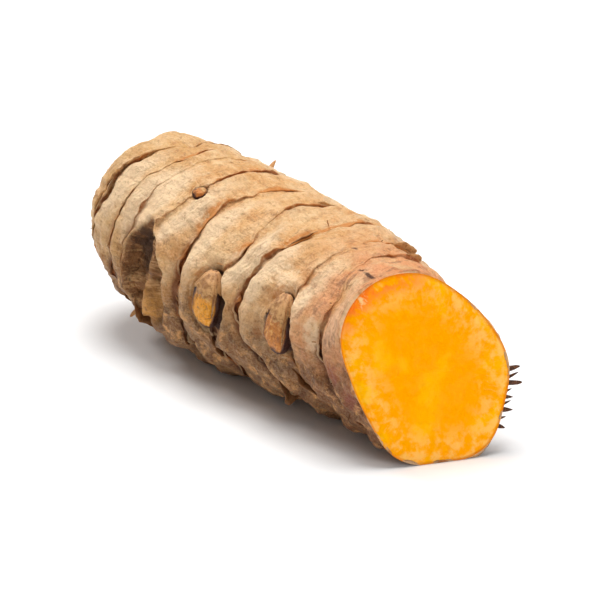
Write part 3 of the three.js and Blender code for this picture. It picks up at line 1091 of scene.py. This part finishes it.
TAN = shade(229, 178, 122)
PALE = shade(246, 214, 174)
HONEY = shade(216, 156, 92)
DRY = shade(160, 102, 54)
OLIVE = shade(204, 160, 98)
STAIN = shade(190, 120, 56)
PINK = shade(228, 146, 98)
BRUISE = shade(156, 84, 58)
WHITE_HIGHLIGHT = shade(252, 224, 192)
TANNED = shade(204, 136, 74)
SHADED = shade(98, 48, 8)
VALLEY_SHADE = shade(140, 80, 36)
CREVICE = shade(168, 94, 38)
CREVICE_SHADE = shade(66, 36, 24)
SPECK = shade(150, 98, 56)
RUBBED = shade(206, 132, 62)
CREASE = shade(134, 74, 50)
DIRT = shade(80, 40, 14)
MOULD = shade(92, 48, 16)
SCUFFED = shade(230, 172, 110)
SPOT = shade(232, 160, 48)

# An amber spot low on the tip, and small cracks in the skin near the cut, painted as dark lines of shade:
# x, angle, reach along each axis.
SPOT_AT = (-31.7, 194, (0.8, 1.2, 0.9))
CRACKS = [
    (19.6, 111, (1.5, 0.28, 0.6)),
    (22.2, 113, (1.3, 0.35, 0.6)),
    (14.5, 99, (0.7, 0.4, 0.5)),
]
WARM_CAST = (1.0, 0.95, 0.83, 1.0)
MAUVE = shade(146, 80, 66)
PINK_HIGHLIGHT = shade(250, 202, 166)
AMBER = shade(222, 158, 70)
MAROON_AND_SHADE = shade(48, 16, 12)
CORK_DARK_AND_SHADE = shade(72, 46, 28)
CORK_TAN = shade(142, 98, 60)
CORK_LIGHT = shade(206, 162, 116)
CORK_ORANGE = shade(216, 158, 84)

# Blotches, white and pink painted highlights and reddish and brown ones: x, angle, reach along each axis,
# colour, share.
BLOTCHES = [
    (14.3, 143, (2.2, 1.6, 2.4), WHITE_HIGHLIGHT, 0.8),
    (18.1, 160, (1.6, 1.2, 3.0), WHITE_HIGHLIGHT, 0.6),
    (22.4, 150, (1.8, 1.6, 3.2), PINK_HIGHLIGHT, 0.75),
    (21.8, 182, (1.6, 1.4, 2.6), MAUVE, 0.7),
    (24.8, 196, (1.5, 1.5, 3.0), MAUVE, 0.75),
    (6.9, 177, (0.9, 0.9, 1.8), DRY, 0.7),
    (2.2, 165, (0.8, 0.9, 2.0), RUBBED, 0.7),
    (13.6, 196, (1.3, 1.2, 1.6), AMBER, 0.6),
    (1.0, 124, (2.6, 1.8, 2.2), WHITE_HIGHLIGHT, 0.6),
    (9.1, 138, (2.6, 2.0, 2.6), WHITE_HIGHLIGHT, 0.75),
    (-0.7, 145, (2.2, 1.8, 2.6), WHITE_HIGHLIGHT, 0.6),
    (9.5, 112, (3.0, 3.4, 1.6), HONEY, 0.55),
    (20.5, 136, (1.8, 2.6, 2.2), HONEY, 0.6),
]


def scar_cork(m):
    """Inside of the large scar: streaked cork, dark in its pit with painted shade, orange on its lump."""
    rough = m.noise(1.2, 5.0, 0.75, shift=6.0)
    streaks = m.grown_noise(2.6, 0.7, 4.0, 0.7, 16.0)
    return m.layers(CORK_TAN, [
        (CORK_LIGHT, m.ramp(streaks, 0.5, 0.64) * 0.75),
        (CORK_DARK_AND_SHADE, m.ramp(streaks, 0.46, 0.34) * 0.6),
        # Painted shade with dark cork in the pit, edge and groove.
        (CORK_DARK_AND_SHADE, m.ramp(m.mask("pit") + (rough - 0.5) * 1.2, 0.3, 0.75) * 0.9),
        (CORK_ORANGE, m.mask("lump") * m.ramp(rough, 0.35, 0.58, 0.25, 0.95)),
    ])


def skin_material():
    """Tan skin: painted highlight on the shoulders, pink near the cut, painted shade and dirt low down."""
    m = Finish("turmeric_skin")
    x, z = m.axis("X"), m.axis("Z")
    fibres = m.grown_noise(2.4, 0.7, 4.0, 0.7)
    hoops = m.grown_noise(0.8, 3.0, 4.0, 0.7, 3.0)
    mottle = m.noise(1.1, 5.0, 0.72)
    grain = m.noise(0.3, 3.0, 0.7, shift=0.5)
    cut_side = m.ramp(x, 10.0, 26.0)
    # Share low on the skin: where painted shade falls and the dark patches gather.
    low = m.ramp(z + m.noise(4.0, 3.0, shift=12.0) * 6.0, 20.0, 10.0)
    colour = m.layers(TAN, [
        (HONEY, m.patches(7.0, 3.0, 0.5, 0.7, 0.42, 0.66) * 0.7),
        (OLIVE, m.ramp(x, -6.0, -26.0) * 0.55),
        (PALE, m.patches(4.5, 4.0, 0.6, 0.0, 0.4, 0.66) * 0.7),
        (TANNED, m.patches(2.8, 5.0, 0.7, 17.0, 0.52, 0.68) * 0.5),
        (PALE, m.ramp(fibres, 0.52, 0.7) * 0.5),
        (DRY, m.ramp(fibres, 0.46, 0.3) * 0.4),
        (DRY, m.ramp(hoops, 0.42, 0.28) * 0.4),
        (PALE, m.ramp(mottle, 0.53, 0.68) * 0.55),
        (DRY, m.ramp(mottle, 0.46, 0.32) * 0.55),
        (PINK, cut_side * m.patches(4.0, 3.0, 0.55, 1.3, 0.25, 0.55) * 0.85),
        (BRUISE, cut_side * m.ramp(z, 15.0, 8.0) * m.patches(3.0, 3.0, 0.55, 2.1, 0.4, 0.62) * 0.7),
        # Painted highlight on the shoulders, weaker near the cut.
        (WHITE_HIGHLIGHT, m.ramp(m.mask("shoulder") * (mottle + 0.4), 0.12, 0.7) * (0.88 - cut_side * 0.45)),
        # Painted shade: the skin darkened low down, where the light from above does not reach.
        (SHADED, low * m.ramp(mottle, 0.3, 0.66, 0.98, 0.6)),
    ])

    wavy = m.ramp((m.grown_noise(1.9, 8.0, 2.0, 0.5, 7.0) - 0.5)**2.0, 0.005, 0.0)
    wavy = wavy * m.patches(2.4, 2.0, 0.55, 11.0, 0.48, 0.62)
    valley = m.ramp(m.mask("valley") * (mottle + 0.5), 0.15, 0.8)
    colour = m.layers(colour, [
        (CREASE, wavy * (0.12 + cut_side * 0.55)),
        (SPECK, m.patches(1.0, 3.0, 0.6, 3.0, 0.6, 0.7) * 0.5),
        (DIRT, m.patches(1.9, 5.0, 0.7, 14.0, 0.5, 0.62) * (low * 0.85 + 0.08)),
        (MOULD, m.patches(3.8, 4.0, 0.6, 19.0, 0.49, 0.6) * low * 0.55),
        (SCUFFED, m.patches(1.7, 5.0, 0.7, 15.0, 0.5, 0.66) * low * 0.9),
        (m.mix(SPECK, PALE, m.ramp(grain, 0.3, 0.7)), 0.2),
        # Painted shade in the valley bottoms, darker still low down.
        (m.mix(VALLEY_SHADE, DIRT, low), valley * 0.9),
    ])

    lip, crevice = m.mask("lip"), m.mask("crevice")
    stain = m.patches(3.0, 3.0, 0.6, 9.0, 0.5, 0.64)
    rubbed = m.mask("stain") * m.patches(1.2, 3.0, 0.6, 10.0, 0.3, 0.5)
    broken = crevice * m.ramp(m.noise(2.0, 3.0, 0.6, shift=5.0), 0.32, 0.6, 0.2, 1.0)
    # Deeper painted shade in the grooves low down.
    deep = m.ramp(broken, 0.5, 1.0) * m.ramp(z, 21.0, 12.0, 0.1, 0.95)
    spread = m.ramp(mottle, 0.32, 0.56, 0.25, 1.0)
    colour = m.layers(colour, [
        (STAIN, m.ramp(lip, 0.1, 0.7) * stain * 0.6),
        (RUBBED, m.ramp(rubbed, 0.15, 0.55) * 0.85),
        # Painted highlight along the lips of the scale edges and the rims round the buds.
        (PALE, m.ramp(lip, 0.65, 1.0) * (1.0 - stain) * 0.5),
        # Ring grooves: the scars' brown with painted shade under each lip.
        (CREVICE, m.ramp(broken, 0.1, 0.8) * 0.85),
        (CREVICE_SHADE, deep),
        # Blotches; the white and pink ones are painted highlights.
        *((blotch, m.near(at, angle, reach, 1.2) * spread * share)
          for at, angle, reach, blotch, share in BLOTCHES),
        (SPOT, m.near(*SPOT_AT, 0.8) * 0.9),
        # Painted shade in the cracks near the cut.
        *((CREVICE_SHADE, m.near(*crack, 1.2) * 0.9) for crack in CRACKS),
        (scar_cork(m), m.mask("scar")),
        # Painted shade with maroon in the slit round each bud.
        (MAROON_AND_SHADE, m.ramp(m.mask("moat"), 0.25, 0.8) * 0.92),
    ])
    colour = m.mix(colour, WARM_CAST, 1.0, "MULTIPLY")

    wrinkles = m.grown_noise(2.2, 0.9, 5.0, 0.6, 4.0, "RIDGED_MULTIFRACTAL")
    dents = m.grown_noise(1.6, 2.4, 4.0, 0.55, 18.0)
    height = fibres * 0.5 + hoops * 0.6 + mottle * 1.5 + grain * 0.15 + wrinkles * 0.3 + dents * 1.8
    roughness = m.ramp(mottle, 0.3, 0.7, 0.6, 0.42)
    fixed = {"Specular IOR Level": 0.3, "Subsurface Weight": 0.04, "Subsurface Scale": 0.0008}
    return m.finish(colour, roughness, height, fixed, 0.4)


FLESH = shade(255, 163, 0)
FLESH_LIGHT = shade(255, 192, 96)
FLESH_YELLOW = shade(255, 190, 8)
FLESH_RED = shade(252, 112, 8)
FLESH_GLINT = shade(255, 226, 160)
RIM = shade(208, 104, 30)


def flesh_material():
    """Wet orange flesh, with a paler outer part, faint spokes, a thin brown rim and a small painted glint.
    """
    m = Finish("turmeric_flesh")
    depth = m.mask("depth")
    y, z = m.axis("Y"), m.axis("Z") - CUT_AXIS_Z
    angle = Value(m, m.node("ShaderNodeMath", {"operation": "ARCTAN2"}, {0: z, 1: y}).outputs[0])
    spokes = m.node("ShaderNodeCombineXYZ", None, {"X": angle * 11.0, "Y": depth * 0.45})
    fibres = Value(m, m.node("ShaderNodeTexNoise", None, {
        "Vector": spokes.outputs[0], "Scale": 1.6, "Detail": 4.0, "Roughness": 0.6}).outputs["Fac"])
    outer = m.ramp(depth, 6.0, 0.8)
    mottle = m.noise(1.5, 4.0, 0.62)
    cells = m.noise(0.45, 3.0, 0.6, shift=1.0)
    top_left = m.ramp(z, 3.0, 9.5) * m.ramp(y, 3.0, -4.0) * m.ramp(depth, 3.2, 0.6)
    colour = m.layers(FLESH, [
        (FLESH_YELLOW, m.patches(5.0, 2.0, 0.55, 2.0, 0.48, 0.7) * 0.6),
        (FLESH_LIGHT, m.ramp(mottle, 0.44, 0.62) * (outer * 0.8 + 0.04)),
        (FLESH_LIGHT, m.ramp(fibres, 0.5, 0.72) * outer * 0.5),
        (FLESH_YELLOW, m.ramp(cells, 0.55, 0.75) * 0.3),
        (FLESH_RED, top_left * m.ramp(mottle, 0.35, 0.6) * 0.9),
        (FLESH_YELLOW, m.near(26.8, 190, (6.0, 3.0, 2.2), 1.2) * 0.6),
        # Painted glint near the top of the rim.
        (FLESH_GLINT, m.near(24.6, 127, (2.5, 1.1, 1.6), 2.4) * m.ramp(fibres, 0.45, 0.6) * 0.7),
        (RIM, m.ramp(depth, 0.4, 0.08) * 0.6),
    ])
    height = mottle * 0.5 + cells * 0.6 + fibres * outer * 0.8
    fixed = {"Specular IOR Level": 0.0, "Subsurface Weight": 0.15, "Subsurface Scale": 0.001,
             "Subsurface Radius": (1.0, 0.35, 0.08)}
    return m.finish(colour, m.ramp(cells, 0.3, 0.7, 0.36, 0.52), height, fixed, 0.12)


SCALE_FOOT = shade(204, 154, 104)
SCALE_EDGE = shade(196, 150, 98)
SCALE_BROWN = shade(126, 78, 42)
SCALE_DARK = shade(120, 72, 36)


def scale_material():
    """Thin dry brown scale, for the sheaths, the flaps and the hairs, with painted shade low down."""
    m = Finish("dry_scale")
    streaks = m.noise(0.4, 3.0, 0.6, 0.4)
    colour = m.layers(SCALE_FOOT, [
        (SCALE_EDGE, m.ramp(m.mask("tear"), 0.1, 0.8)),
        (SCALE_BROWN, m.patches(1.2, 4.0, 0.6, 1.4, 0.46, 0.62) * 0.6),
        (SCALE_DARK, m.ramp(streaks, 0.5, 0.34) * 0.55),
        # Painted shade on the scales low down.
        (SHADED, m.ramp(m.axis("Z"), 14.0, 6.0) * 0.7),
    ])
    height = streaks * 0.8 + m.noise(0.3, 3.0) * 0.4
    return m.finish(colour, m.ramp(streaks, 0.3, 0.7, 0.5, 0.7), height, {"Specular IOR Level": 0.3}, 0.08)


POD_TAN = shade(184, 134, 88)
POD_AMBER = shade(232, 152, 22)
POD_BROWN = shade(198, 122, 52)
POD_DARK = shade(120, 72, 34)
POD_LIGHT = shade(246, 204, 128)
POD_WALL_SHADE = shade(104, 60, 32)


def bud_material():
    """Pods that are tan at the top, amber or brown lower down, with painted shade and maroon on their
    walls.
    """
    m = Finish("bud_pod")
    tone = m.mask("tone") + m.noise(1.4, 3.0, 0.6, 0.6) * 0.5
    grain = m.noise(0.6, 4.0, 0.7, 0.2)
    wall = m.mask("wall") + (m.noise(0.8, 3.0, 0.6, 0.9) - 0.5) * 0.5
    colour = m.layers(POD_TAN, [
        (m.mix(POD_AMBER, POD_BROWN, m.mask("brown")), m.ramp(tone, 0.5, 0.75)),
        (POD_DARK, m.ramp(grain, 0.5, 0.34) * 0.75),
        (POD_LIGHT, m.ramp(grain, 0.52, 0.66) * 0.45),
        # Painted shade, with maroon, on the pod walls.
        (POD_WALL_SHADE, m.ramp(wall, 0.15, 0.6) * 0.8),
        (MAROON_AND_SHADE, m.ramp(wall, 0.55, 0.95) * 0.93),
    ])
    return m.finish(colour, m.ramp(grain, 0.3, 0.7, 0.42, 0.6), grain, {"Specular IOR Level": 0.4}, 0.25)


ROOTLET_DARK = shade(62, 36, 24)
ROOTLET_LIGHT = shade(122, 74, 42)


def rootlet_material():
    """Tan stubs, and dark dried ones beside the cut."""
    m = Finish("dry_rootlet")
    grain = m.noise(0.3, 4.0, 0.6, 0.2)
    dark = m.mix(ROOTLET_DARK, ROOTLET_LIGHT, m.ramp(grain, 0.42, 0.68))
    colour = m.mix(m.mix(DRY, TAN, grain), dark, m.ramp(m.axis("X"), 24.0, 28.0))
    return m.finish(colour, m.ramp(grain, 0.3, 0.7, 0.6, 0.85), grain, {"Specular IOR Level": 0.25}, 0.1)


# The pieces, their finishes and what they ride on

skin, rim = make_skin()
scale_finish, rootlet_finish = scale_material(), rootlet_material()
tree, identifiers = rootlet_tree()
pieces = [
    (skin, skin_material(), SKIN_SLOT),
    (make_flesh(rim), flesh_material(), FLESH_SLOT),
    (make_pods(), bud_material(), SKIN_SLOT),
    (make_sheaths(), scale_finish, SCALE_SLOT),
    (make_flaps(), scale_finish, SCALE_SLOT),
    (make_stubs(tree, identifiers, rootlet_finish), None, ROOTLET_SLOT),
    (make_hairs(tree, identifiers, scale_finish), None, SCALE_SLOT),
]
for piece, finish, slot in pieces:
    if finish:
        piece.data.materials.append(finish)
    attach(piece, "root")
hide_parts(NODE)


# Floor, light and camera

FLOOR_SIZE = 6.0
FLOOR_DROP = 0.00005
CAMERA_AZIMUTH = 55.0
CAMERA_ELEVATION = 21.0
CAMERA_DISTANCE = 0.62
CAMERA_LENS = 285.7
AIM = (np.array([0.0, 0.0, 12.0]) - CENTRE) * MM
LIT_POINT = (0.0, 0.0, 0.01)

# Soft round lights: name, place, size, power.
LIGHTS = [
    ("key_softbox", (-0.12, 0.10, 0.84), 0.62, 7.6),
    ("left_fill", (-0.74, -0.26, 0.74), 0.3, 3.7),
    ("cut_fill", (0.85, 0.05, 0.30), 0.5, 2.9),
]
WORLD_LIGHT = 0.24


def make_floor():
    bpy.ops.mesh.primitive_plane_add(size=FLOOR_SIZE, location=(0, 0, -FLOOR_DROP))
    floor = bpy.context.object
    floor.name = "pale_floor"
    material = bpy.data.materials.new("pale_floor")
    material.use_nodes = True
    surface = material.node_tree.nodes["Principled BSDF"]
    surface.inputs["Base Color"].default_value = (0.9, 0.9, 0.9, 1.0)
    surface.inputs["Roughness"].default_value = 0.7
    surface.inputs["Specular IOR Level"].default_value = 0.1
    floor.data.materials.append(material)


def aim_at(thing, place, target):
    thing.location = place
    thing.rotation_euler = (Vector(target) - Vector(place)).to_track_quat("-Z", "Y").to_euler()


def make_light(name, place, size, power):
    data = bpy.data.lights.new(name, "AREA")
    data.shape = "DISK"
    data.size = size
    data.energy = power
    aim_at(put_in_scene(name, data), place, LIT_POINT)


def make_camera():
    data = bpy.data.cameras.new("camera")
    data.sensor_width = 36.0
    data.lens = CAMERA_LENS
    data.clip_end = 20.0
    camera = put_in_scene("camera", data)
    turn, rise = math.radians(CAMERA_AZIMUTH), math.radians(CAMERA_ELEVATION)
    back = Vector((math.sin(turn) * math.cos(rise), -math.cos(turn) * math.cos(rise), math.sin(rise)))
    aim_at(camera, Vector(AIM) + back * CAMERA_DISTANCE, AIM)
    bpy.context.scene.camera = camera


make_floor()
for light in LIGHTS:
    make_light(*light)
make_camera()
world = bpy.data.worlds.new("studio")
world.use_nodes = True
background = world.node_tree.nodes["Background"]
background.inputs["Color"].default_value = (1.0, 1.0, 1.0, 1.0)
background.inputs["Strength"].default_value = WORLD_LIGHT
bpy.context.scene.world = world
bpy.context.scene.view_settings.view_transform = "Standard"
